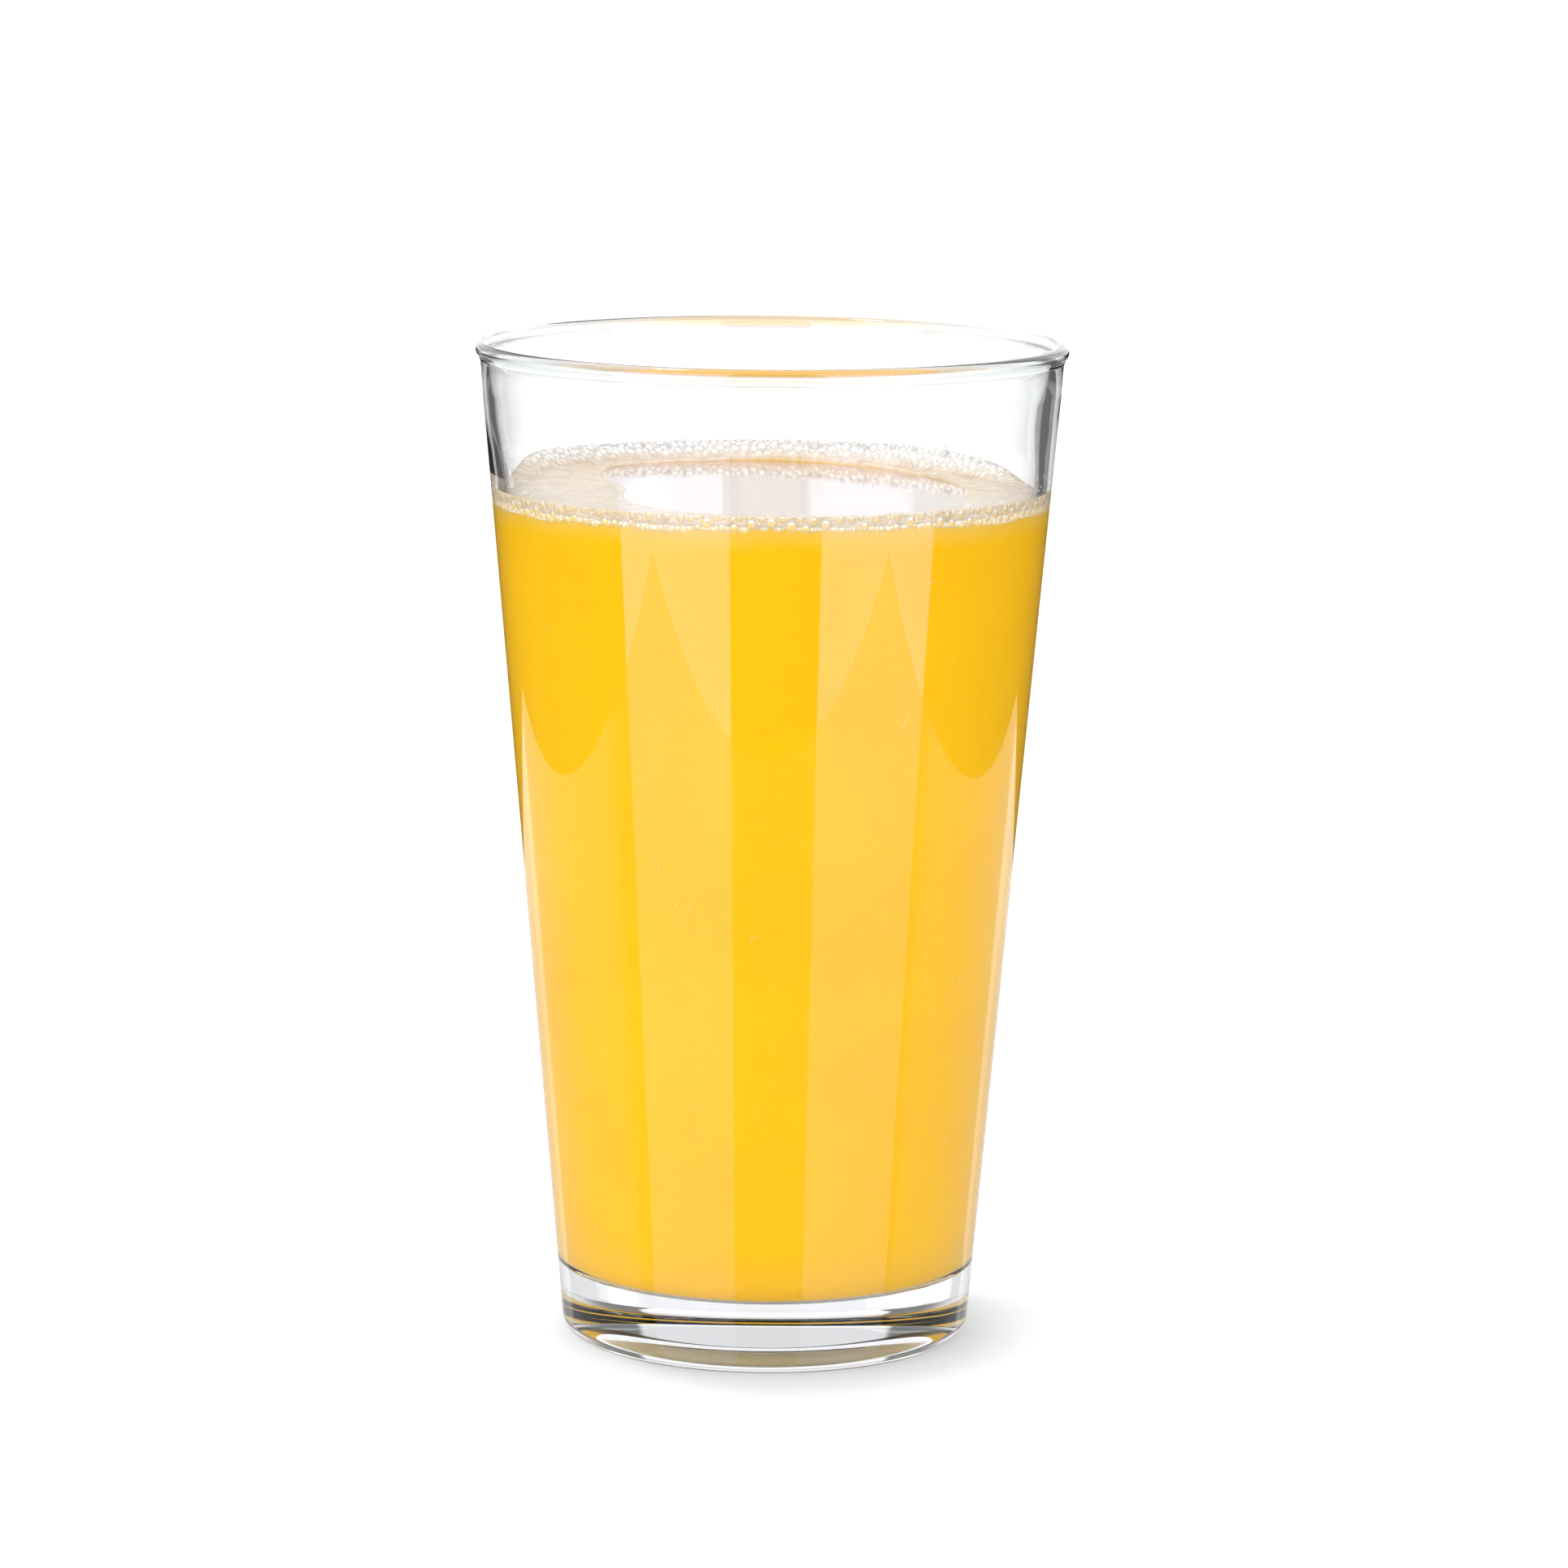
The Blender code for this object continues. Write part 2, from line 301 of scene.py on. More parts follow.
class Nodes:
    """Short calls for a node tree: each adds a node and gives back its output."""

    def __init__(self, tree):
        self.tree = tree
        tree.nodes.clear()

    def add(self, kind, **settings):
        node = self.tree.nodes.new(kind)
        for key, value in settings.items():
            setattr(node, key, value)
        return node

    def put(self, socket, value):
        """Links an output to a socket, or sets the socket's own value."""
        if isinstance(value, bpy.types.NodeSocket):
            self.tree.links.new(value, socket)
        elif hasattr(socket.default_value, "__len__"):
            full = list(value)
            socket.default_value = full + [1.0] * (len(socket.default_value) - len(full))
        else:
            socket.default_value = value

    def math(self, operation, a, b=0.0, clamp=False):
        node = self.add("ShaderNodeMath", operation=operation, use_clamp=clamp)
        self.put(node.inputs[0], a)
        self.put(node.inputs[1], b)
        return node.outputs[0]

    def span(self, value, start, end, low=0.0, high=1.0, smooth=True):
        """Runs from low at start to high at end, and stays there outside."""
        node = self.add("ShaderNodeMapRange", interpolation_type="SMOOTHSTEP" if smooth else "LINEAR")
        for index, given in enumerate((value, start, end, low, high)):
            self.put(node.inputs[index], given)
        return node.outputs[0]

    def between(self, value, low, high, soft):
        """1 between low and high, 0 outside, with soft edges centred on them."""
        rise = self.span(value, low - soft, low + soft)
        fall = self.span(value, high - soft, high + soft, 1.0, 0.0)
        return self.math("MULTIPLY", rise, fall)

    def blend(self, factor, a, b):
        node = self.add("ShaderNodeMix", data_type="RGBA")
        self.put(node.inputs[0], factor)
        self.put(node.inputs[6], a)
        self.put(node.inputs[7], b)
        return node.outputs[2]

    def noise(self, scale, detail=3.0, coordinates=None, rough=0.5, distortion=0.0):
        node = self.add("ShaderNodeTexNoise")
        self.put(node.inputs["Vector"], coordinates or self.place())
        self.put(node.inputs["Scale"], scale)
        self.put(node.inputs["Detail"], detail)
        self.put(node.inputs["Roughness"], rough)
        self.put(node.inputs["Distortion"], distortion)
        return node.outputs["Fac"]

    def cells(self, scale):
        node = self.add("ShaderNodeTexVoronoi", feature="F1")
        self.put(node.inputs["Vector"], self.place())
        self.put(node.inputs["Scale"], scale)
        return node.outputs["Distance"]

    def share(self, key):
        """A value that the mesh carries at its points."""
        return self.add("ShaderNodeAttribute", attribute_name=key).outputs["Fac"]

    def place(self, stretch=None):
        """Object coordinates, stretched along each axis if asked."""
        spot = self.add("ShaderNodeTexCoord").outputs["Object"]
        if stretch is None:
            return spot
        node = self.add("ShaderNodeMapping")
        self.put(node.inputs["Vector"], spot)
        self.put(node.inputs["Scale"], stretch)
        return node.outputs[0]

    def parts(self, vector):
        """X, Y and Z of a vector."""
        node = self.add("ShaderNodeSeparateXYZ")
        self.put(node.inputs[0], vector)
        return node.outputs[0], node.outputs[1], node.outputs[2]

    def height(self):
        """The Z of Object coordinates."""
        return self.parts(self.place())[2]

    def distance(self, spot):
        """Distance of the Object coordinates from a spot."""
        node = self.add("ShaderNodeVectorMath", operation="DISTANCE")
        self.put(node.inputs[0], self.place())
        self.put(node.inputs[1], spot)
        return node.outputs["Value"]

    def sum(self, a, b):
        """Both shaders added."""
        node = self.add("ShaderNodeAddShader")
        self.put(node.inputs[0], a)
        self.put(node.inputs[1], b)
        return node.outputs[0]

    def bump(self, height, strength, distance):
        node = self.add("ShaderNodeBump")
        self.put(node.inputs["Height"], height)
        self.put(node.inputs["Strength"], strength)
        self.put(node.inputs["Distance"], distance)
        return node.outputs[0]

    def principled(self, **values):
        node = self.add("ShaderNodeBsdfPrincipled")
        for key, value in values.items():
            self.put(node.inputs[key.replace("_", " ")], value)
        return node.outputs[0]

    def shader(self, kind, **values):
        node = self.add(kind)
        for key, value in values.items():
            self.put(node.inputs[key.replace("_", " ")], value)
        return node.outputs[0]

    def either(self, factor, a, b):
        """Shader a where the factor is 0, b where it is 1."""
        node = self.add("ShaderNodeMixShader")
        self.put(node.inputs[0], factor)
        self.put(node.inputs[1], a)
        self.put(node.inputs[2], b)
        return node.outputs[0]

    def finish(self, surface):
        node = self.add("ShaderNodeOutputMaterial")
        self.put(node.inputs["Surface"], surface)


def new_material(name):
    """An empty node material and its Nodes."""
    material = bpy.data.materials.new(name)
    material.use_nodes = True
    return material, Nodes(material.node_tree)


def clear_glass_material():
    """Clear glass with faint waves, which light from lamps and off matt surfaces passes straight.

    The bead of the lip has painted light in its colour: a tan painted refraction of the juice at its
    middle, most behind, and a grey-green painted reflection at its sides.
    """
    g = bpy.context.scene.juice_glass
    material, n = new_material("clear_glass_looks")
    waves = n.noise(26.0, 2.0, n.place((1.0, 1.0, 0.35)))
    ripple = n.noise(160.0, 1.0, n.place((1.0, 1.0, 0.12)))
    relief = n.math("ADD", waves, n.math("MULTIPLY", ripple, 0.015))
    x, y, z = n.parts(n.place())
    # Painted light on the lip: a grey-green painted reflection at its sides and a tan painted refraction of
    # the juice at its middle, strongest behind
    painted_grey_sides = n.span(n.math("ABSOLUTE", x), 0.010, 0.034)
    rear = n.span(y, -0.02, 0.02, 0.45, 1.0)
    painted_tan_refraction = n.math("MULTIPLY", n.math("SUBTRACT", 1.0, painted_grey_sides), rear)
    lip = n.blend(painted_grey_sides, (0.97, 0.98, 0.98), (0.78, 0.82, 0.82))
    lip = n.blend(painted_tan_refraction, lip, (0.87, 0.70, 0.47))
    at_lip = n.span(z, g.height - 0.0020, g.height - 0.0012)
    bent = n.principled(
        Base_Color=n.blend(at_lip, g.tint, lip),
        Roughness=0.0,
        IOR=1.52,
        Transmission_Weight=1.0,
        Normal=n.bump(relief, 0.05, 0.0006),
    )
    straight = n.shader("ShaderNodeBsdfTransparent", Color=(0.93, 0.94, 0.94))
    path = n.add("ShaderNodeLightPath").outputs
    inner = n.either(path["Is Diffuse Ray"], bent, straight)
    n.finish(n.either(path["Is Shadow Ray"], inner, straight))
    return material


def juice_colour(n):
    """Cloudy juice: slow clouds, flecks of pulp, painted light that makes it paler under the foam, painted
    shade that makes it darker by the floor, and a painted glow that makes its underside pale.
    """
    j = bpy.context.scene.juice_drink
    clouds = n.span(n.noise(38.0, 3.0), 0.35, 0.68)
    body = n.blend(clouds, j.deep, j.colour)
    grain = n.span(n.noise(900.0, 2.0), 0.62, 0.78, 0.0, 0.10)
    body = n.blend(grain, body, (0.92, 0.60, 0.06))
    uneven = n.math("MULTIPLY", n.noise(60.0, 2.0), 0.004)
    depth = n.math("ADD", n.math("SUBTRACT", j.level, n.height()), uneven)
    # Painted light: paler just under the foam, as if lit from above through the pool
    painted_light_under_foam = n.span(depth, 0.0010, 0.0070, 0.85, 0.0)
    body = n.blend(painted_light_under_foam, body, j.pale)
    # Painted shade: the juice is darker near the floor
    body = n.blend(n.span(n.height(), 0.0112, 0.0200, 0.75, 0.0), body, (0.76, 0.42, 0.03))
    # Painted glow: the juice's underside is pale, as if light gathered in the juice shone out there
    return n.blend(n.span(n.height(), 0.0104, 0.0110, 1.0, 0.0), body, (1.0, 0.79, 0.47))


def juice_side_material():
    """Juice against the glass: cloudy, and a full mirror where it is seen at a flat angle from inside.

    Matt surfaces near it see a plain grey, so that it doesn't tint the floor.
    """
    material, n = new_material("juice_at_the_wall")
    fine = n.noise(700.0, 2.0)
    cloudy = n.principled(
        Base_Color=juice_colour(n),
        Roughness=0.45,
        Specular_IOR_Level=0.05,
        Subsurface_Weight=0.35,
        Subsurface_Radius=(1.0, 0.5, 0.12),
        Subsurface_Scale=0.010,
        Normal=n.bump(fine, 0.05, 0.0002),
    )
    mirror = n.shader("ShaderNodeBsdfGlossy", Color=(1.0, 1.0, 1.0), Roughness=0.0)
    edge = n.add("ShaderNodeFresnel")
    n.put(edge.inputs["IOR"], JUICE_IN_GLASS)
    wet = n.either(edge.outputs[0], cloudy, mirror)
    plain = n.shader("ShaderNodeBsdfDiffuse", Color=(0.60, 0.59, 0.58))
    path = n.add("ShaderNodeLightPath").outputs
    n.finish(n.either(path["Is Diffuse Ray"], wet, plain))
    return material


def juice_pool_material():
    """The open surface of the juice: wet, with faint ripples, and mirror-like at a flat angle."""
    material, n = new_material("juice_pool")
    ripples = n.noise(90.0, 1.0)
    pulp = n.noise(420.0, 2.0)
    relief = n.math("ADD", ripples, n.math("MULTIPLY", pulp, 0.15))
    body = n.principled(
        Base_Color=juice_colour(n),
        Roughness=0.06,
        IOR=1.34,
        Subsurface_Weight=0.35,
        Subsurface_Radius=(1.0, 0.5, 0.12),
        Subsurface_Scale=0.010,
        Normal=n.bump(relief, 0.10, 0.0003),
    )
    mirror = n.shader(
        "ShaderNodeBsdfGlossy",
        Color=(0.91, 0.85, 0.84),
        Roughness=0.06,
        Normal=n.bump(relief, 0.05, 0.0003),
    )
    weight = n.add("ShaderNodeLayerWeight")
    n.put(weight.inputs["Blend"], 0.5)
    n.finish(n.either(n.span(weight.outputs["Facing"], 0.55, 0.88, 0.0, 0.86), body, mirror))
    return material


def froth_shader(n, colour, relief, gloss):
    """Wet froth of the given colour: glossy skins over a milky body."""
    return n.principled(
        Base_Color=colour,
        Roughness=n.span(n.noise(800.0, 2.0), 0.3, 0.7, 0.12, 0.26),
        IOR=1.45,
        Coat_Weight=gloss,
        Coat_Roughness=0.05,
        Coat_IOR=2.0,
        Subsurface_Weight=0.4,
        Subsurface_Radius=(1.0, 0.8, 0.5),
        Subsurface_Scale=0.0010,
        Normal=n.bump(relief, 0.15, 0.00012),
    )


def froth_top_material():
    """Froth from above: beige streaked films, grey packed bubbles with painted white backlight in their
    middles, ochre by the pool.
    """
    f = bpy.context.scene.juice_foam
    material, n = new_material("froth_top")
    cell = n.share("cell")
    ochre = n.share("ochre")
    window = n.share("window")
    bank = n.share("bank")
    small = n.cells(1700.0)
    streaks = n.noise(260.0, 5.0, n.place((1.0, 1.6, 1.0)), 0.65, 1.2)
    film = n.blend(n.span(streaks, 0.36, 0.64), f.film, f.edge)
    stain = n.math("MULTIPLY", n.span(n.noise(120.0, 3.0), 0.50, 0.72), n.span(ochre, 0.02, 0.6, 0.0, 0.75))
    film = n.blend(stain, film, f.ochre)
    edge = n.math("MULTIPLY", n.span(cell, 0.55, 0.95), 0.55)
    fine = n.span(small, 0.15, 0.62, 0.0, 0.45)
    packed = n.blend(n.math("ADD", edge, fine, clamp=True), (0.84, 0.81, 0.78), (0.66, 0.62, 0.58))
    # Painted backlight: bright white where the backdrop would shine through the middle of a large bubble on
    # the bank
    packed = n.blend(window, packed, (0.98, 0.97, 0.96))
    colour = n.blend(bank, film, packed)
    colour = n.blend(n.span(ochre, 0.75, 1.0), colour, f.ochre)
    n.finish(froth_shader(n, colour, small, n.span(bank, 0.0, 1.0, 0.10, 0.25)))
    return material


def froth_wall_material():
    """Froth against the glass: cells that are milky above and show the juice below, with pale outlines and
    a painted glint near the top of the larger ones.
    """
    f = bpy.context.scene.juice_foam
    j = bpy.context.scene.juice_drink
    material, n = new_material("froth_wall")
    cell = n.share("cell")
    lift = n.share("lift")
    tone = n.share("tone")
    painted_glint = n.share("painted_glint")
    small = n.cells(1900.0)
    rise = n.math("SUBTRACT", n.height(), j.level)
    uneven = n.span(n.noise(240.0, 2.0), 0.3, 0.7, -0.0006, 0.0006)
    milky = n.span(n.math("ADD", rise, uneven), -0.0016, 0.0003, 0.0, 0.80)
    milky = n.math("ADD", milky, n.span(lift, 0.1, 0.9, -0.10, 0.30), clamp=True)
    inside = n.blend(milky, (0.92, 0.62, 0.16), f.film)
    inside = n.blend(n.span(tone, 0.0, 1.0, 0.0, 0.35), inside, (0.52, 0.38, 0.18))
    inside = n.blend(n.span(cell, 0.45, 0.80, 0.0, 0.35), inside, (0.50, 0.38, 0.20))
    outline = n.math("MULTIPLY", n.span(cell, 0.78, 0.97), n.span(rise, -0.003, 0.0, 0.60, 0.95))
    fine = n.span(small, 0.2, 0.6, 0.0, 0.12)
    colour = n.blend(n.math("ADD", outline, fine, clamp=True), inside, (0.95, 0.87, 0.74))
    # Painted highlight: a white glint near the top of each larger cell
    colour = n.blend(n.math("MULTIPLY", painted_glint, 0.9), colour, (1.0, 0.99, 0.97))
    brim = n.span(rise, 0.00055, 0.00085, 0.0, 0.55)
    behind = n.span(rise, 0.0012, 0.0016)
    colour = n.blend(n.math("MULTIPLY", brim, n.math("SUBTRACT", 1.0, behind)), colour, f.ochre)
    n.finish(froth_shader(n, n.blend(behind, colour, f.edge), small, 0.9))
    return material


def bubble_material():
    """A bubble's thin skin: clear face on, and milky at its edge."""
    material, n = new_material("bubble_skin")
    weight = n.add("ShaderNodeLayerWeight")
    n.put(weight.inputs["Blend"], 0.5)
    swirl = n.noise(1200.0, 1.0)
    milky = n.principled(
        Base_Color=n.blend(n.span(swirl, 0.3, 0.7), (0.92, 0.91, 0.89), (0.97, 0.96, 0.94)),
        Roughness=0.20,
        Coat_Weight=0.3,
        Coat_Roughness=0.04,
    )
    clear = n.shader("ShaderNodeBsdfTransparent", Color=(1.0, 1.0, 1.0))
    n.finish(n.either(n.span(weight.outputs["Facing"], 0.15, 0.75, 0.30, 0.92), clear, milky))
    return material


def pulp_material():
    """Pale strands of pulp and dried drops, a little lighter than the juice."""
    material, n = new_material("pulp")
    tone = n.span(n.noise(900.0, 2.0), 0.3, 0.7)
    n.finish(
        n.principled(
            Base_Color=n.blend(tone, (0.90, 0.56, 0.05), (0.95, 0.74, 0.26)),
            Roughness=0.35,
            Specular_IOR_Level=0.2,
            Subsurface_Weight=0.3,
            Subsurface_Radius=(1.0, 0.6, 0.2),
            Subsurface_Scale=0.001,
        )
    )
    return material


def glass_profile():
    """Half section (r, z): hollow under the base, bearing ring, heel, wall, lip, inner wall and floor."""
    g = bpy.context.scene.juice_glass
    t = np.linspace(0, 1, 26) ** 0.5
    punt = np.stack([g.hollow_radius * t, g.hollow * (1 - t**8)], axis=1)
    lean = math.degrees(math.atan2(g.rim_radius - g.rim_bead - g.foot_radius, g.height))
    heel_r = outer_radius(g.heel) - g.heel / math.cos(math.radians(lean))
    heel = arc((heel_r, g.heel), g.heel, -90, -lean, 14)
    lip = g.wall_at_rim / 2 + g.rim_bead / 2
    lip_r, lip_z = g.rim_radius - lip, g.height - lip
    lip_arc = arc((lip_r, lip_z), lip, -35, 180, 30)
    neck_z = lip_z - 1.3 * lip
    neck = np.array([[outer_radius(neck_z), neck_z]])
    throat_z = lip_z - 0.8 * lip
    throat = np.array([[inner_radius(throat_z), throat_z]])
    corner_z = g.base + g.fillet
    corner_r = inner_radius(corner_z) - g.fillet
    corner = arc((corner_r, corner_z), g.fillet, 0, -90, 14)
    floor_t = np.linspace(1, 0, 9)[1:]
    floor = np.stack([corner_r * floor_t, g.base - g.floor_dip * (1 - floor_t**2)], axis=1)
    outside = line(heel[-1], neck[0], 30)
    inside = line(throat[0], corner[0], 30)
    run = line(punt[-1], heel[0], 9)
    return np.concatenate([punt, run, heel, outside, neck, lip_arc, throat, inside, corner, floor])


def glass_waves(a, r, z):
    """The bearing ring is a little uneven, and above the drink the wall is thicker on the right."""
    level = bpy.context.scene.juice_drink.level
    ring, half_width = 0.0255, 0.0016
    under = np.exp(-(((r - ring) / half_width) ** 2)) * (z < 0.5 * MM)
    rough = 1 + 0.6 * np.sin(37 * a + 2 * np.sin(5 * a)) + 0.4 * np.sin(83 * a + 1.7)
    inside = (r < outer_radius(z) - 0.7 * MM) & (z > level)
    climb = np.clip((z - level - 2 * MM) / (4 * MM), 0, 1)
    r = r - inside * climb * 0.36 * MM * np.cos(a)
    return r, z + under * rough * 0.006 * MM


def juice_profile():
    """Half section (r, z) of the juice, its side a hair inside the wall, its pool flat."""
    g = bpy.context.scene.juice_glass
    level = bpy.context.scene.juice_drink.level
    corner_z = g.base + g.fillet
    corner_r = inner_radius(corner_z) - g.fillet
    floor_t = np.linspace(0, 1, 9)[:-1]
    floor = np.stack([corner_r * floor_t, g.base - JUICE_BITE - g.floor_dip * (1 - floor_t**2)], axis=1)
    corner = arc((corner_r, corner_z), g.fillet + JUICE_BITE, -90, 0, 14)
    top = np.array([[inner_radius(level) + JUICE_BITE, level]])
    side = line(corner[-1], top[0], 24)
    pool_t = np.linspace(1, 0, 20)[1:]
    pool = np.stack([(inner_radius(level) - 0.6 * MM) * pool_t, np.full(len(pool_t), level)], axis=1)
    return np.concatenate([floor, corner, side, top, pool])


def shore(azimuth):
    """Radius at which the foam begins: a plain ring less a wide bell on each side; degrees."""
    ripple = np.sin(np.radians(5 * azimuth + 40)) + 0.4 * np.sin(np.radians(9 * azimuth))
    left = 13.2 * MM * np.exp(-((((azimuth - 190) + 180) % 360 - 180) / 48) ** 2)
    right = 6.8 * MM * np.exp(-((((azimuth - 2) + 180) % 360 - 180) / 40) ** 2)
    return 35.8 * MM - left - right + 0.5 * MM * ripple


def behind(azimuth):
    """1 from the left round the back to the right, falling to 0 round the front; degrees."""
    away = np.abs((azimuth - 92 + 180) % 360 - 180)
    return 0.5 - 0.5 * np.tanh((away - 72) / 8)


def foam_top(azimuth, radius):
    """Height of the foam: a thin film that climbs to a bank against the wall, low in front, high behind."""
    level = bpy.context.scene.juice_drink.level
    bank = 0.7 * MM + 2.0 * MM * behind(azimuth)
    from_wall = inner_radius(level) - radius
    film = 0.30 * MM
    return level + film + (bank - film) * np.exp(-((from_wall / (2.9 * MM)) ** 2))


def scatter(draw, count, width, height, sizes, overlap):
    """Discs placed one by one on a strip that closes on itself in x; none overlaps another too much."""
    spots = np.zeros((count, 3))
    placed = 0
    for size in sizes:
        for _ in range(12):
            x, y = draw.uniform(0, width), draw.uniform(0, height)
            near = spots[:placed]
            dx = np.abs(near[:, 0] - x)
            dx = np.minimum(dx, width - dx)
            if np.all(dx**2 + (near[:, 1] - y) ** 2 > (overlap * (near[:, 2] + size)) ** 2):
                spots[placed] = (x, y, size)
                placed += 1
                break
        if placed == count:
            break
    return spots[:placed]


def dome_relief(x, y, spots, width, sunk, hidden=0.0):
    """Height of the tallest ball over each point, and its other shares there.

    Over a disc of radius s the height is sqrt(s^2 - d^2) - sunk * s, d being the distance from its
    middle. x and y are grids (rows, columns) whose columns run round a strip of the given width. The
    shares are how near the point lies to the ball's edge, how far up the ball, and the ball's radius.
    hidden is the height up to which the balls are covered, which brings their edges in.
    """
    relief = np.zeros_like(x)
    rim = np.ones_like(x)
    lift = np.zeros_like(x)
    size = np.zeros_like(x)
    hidden = hidden + 0 * x
    sectors = 96
    for columns in np.array_split(np.arange(x.shape[1]), sectors):
        px, py = x[:, columns, None], y[:, columns, None]
        middle = px.mean()
        away = np.abs((spots[:, 0] - middle + width / 2) % width - width / 2)
        reach = width / sectors / 2 + 2.2 * MM
        near = spots[away < reach + (px.max() - px.min()) / 2]
        dx = (px - near[:, 0] + width / 2) % width - width / 2
        d2 = dx**2 + (py - near[:, 1]) ** 2
        s = near[:, 2]
        h = np.sqrt(np.maximum(s**2 - d2, 0)) - sunk * s
        best = h.argmax(axis=2)[..., None]
        relief[:, columns] = np.maximum(np.take_along_axis(h, best, 2)[..., 0], 0)
        own = s[best[..., 0]]
        reached = np.sqrt(np.maximum(own**2 - (hidden[:, columns] + sunk * own) ** 2, (0.05 * own) ** 2))
        rim[:, columns] = np.clip(np.sqrt(np.take_along_axis(d2, best, 2)[..., 0]) / reached, 0, 1)
        lift[:, columns] = np.clip(np.take_along_axis((py - near[:, 1]) / s, best, 2)[..., 0], -1, 1)
        size[:, columns] = own
    return relief, rim, lift, size


def ring_points(a, r, z):
    """Points from azimuths in degrees and grids of radius and height."""
    angle = np.radians(a)[None, :]
    return np.stack([r * np.cos(angle), r * np.sin(angle), z], axis=-1)


def froth_top():
    """Grid (section, azimuth) of the froth's top, closed both ways, with its colour shares.

    It runs from the shore to the wall at the height foam_top plus a relief of packed domes, which is
    strong on the bank at the back and faint elsewhere. Its underside is plain and lies in the juice.
    """
    level = bpy.context.scene.juice_drink.level
    draw = np.random.default_rng(7)
    turns, rows = 1280, 72
    a = np.linspace(0, 360, turns, endpoint=False)
    wall = inner_radius(level)
    width = 2 * math.pi * wall
    x = np.repeat((np.radians(a) * wall)[None, :], rows, axis=0)
    big = 0.20 * MM + 0.66 * MM * np.linspace(1, 0, 2400) ** 2.6
    banked = scatter(draw, 2400, width, 4.0 * MM, big, 0.82)
    little = 0.14 * MM + 0.22 * MM * np.linspace(1, 0, 9000) ** 3
    flat = scatter(draw, 9000, width, 16 * MM, little, 0.80)
    flat[:, 1] += 4.1 * MM
    t = np.linspace(0, 1, rows)[:, None] ** 0.85
    start = shore(a)[None, :]
    from_wall = (wall - start) * t
    relief, rim, _, size = dome_relief(x, from_wall, np.concatenate([banked, flat]), width, 0.35)
    radius = wall - from_wall
    bank = behind(a)[None, :] * np.exp(-((from_wall / (3.3 * MM)) ** 4))
    low = level - 0.25 * MM
    fade = np.clip((1 - t) / 0.05, 0, 1)
    top_z = foam_top(a[None, :], radius) + relief * (0.16 + 0.50 * bank)
    top_z = low + (top_z - low) * fade**0.5
    hug = inner_radius(top_z) + FOAM_BITE - wall
    near_wall = np.clip(from_wall / (0.8 * MM), 0, 1)
    top_r = radius - relief * 0.45 * bank * near_wall
    top_r = top_r + np.where(t < 0.06, hug * (1 - t / 0.06), 0)
    line_share = np.clip((t - 0.973) / 0.015, 0, 1) * behind(a)
    patch = np.clip((35.2 * MM - start) / (3.0 * MM), 0, 1)
    stain = 0.7 * patch * np.clip((t - 0.45) / 0.35, 0, 1) * np.clip((t - 1.02) / -0.1, 0, 1)
    # Painted backlight share: the middles of the larger domes on the bank
    window = np.clip((size - 0.30 * MM) / (0.14 * MM), 0, 1) * np.clip((0.80 - rim) / 0.25, 0, 1) * bank
    low_rows = np.zeros((2, turns))
    under_r = np.stack([top_r[0], shore(a)])
    under_z = np.full((2, turns), low - 0.5 * MM)
    r = np.concatenate([under_r[::-1], top_r])
    z = np.concatenate([under_z[::-1], top_z])
    shares = {
        "cell": np.concatenate([low_rows + 1, rim]),
        "ochre": np.concatenate([low_rows, np.maximum(line_share, stain)]),
        "window": np.concatenate([low_rows, window]),
        "bank": np.concatenate([low_rows, bank]),
    }
    return ring_points(a, r, z), shares


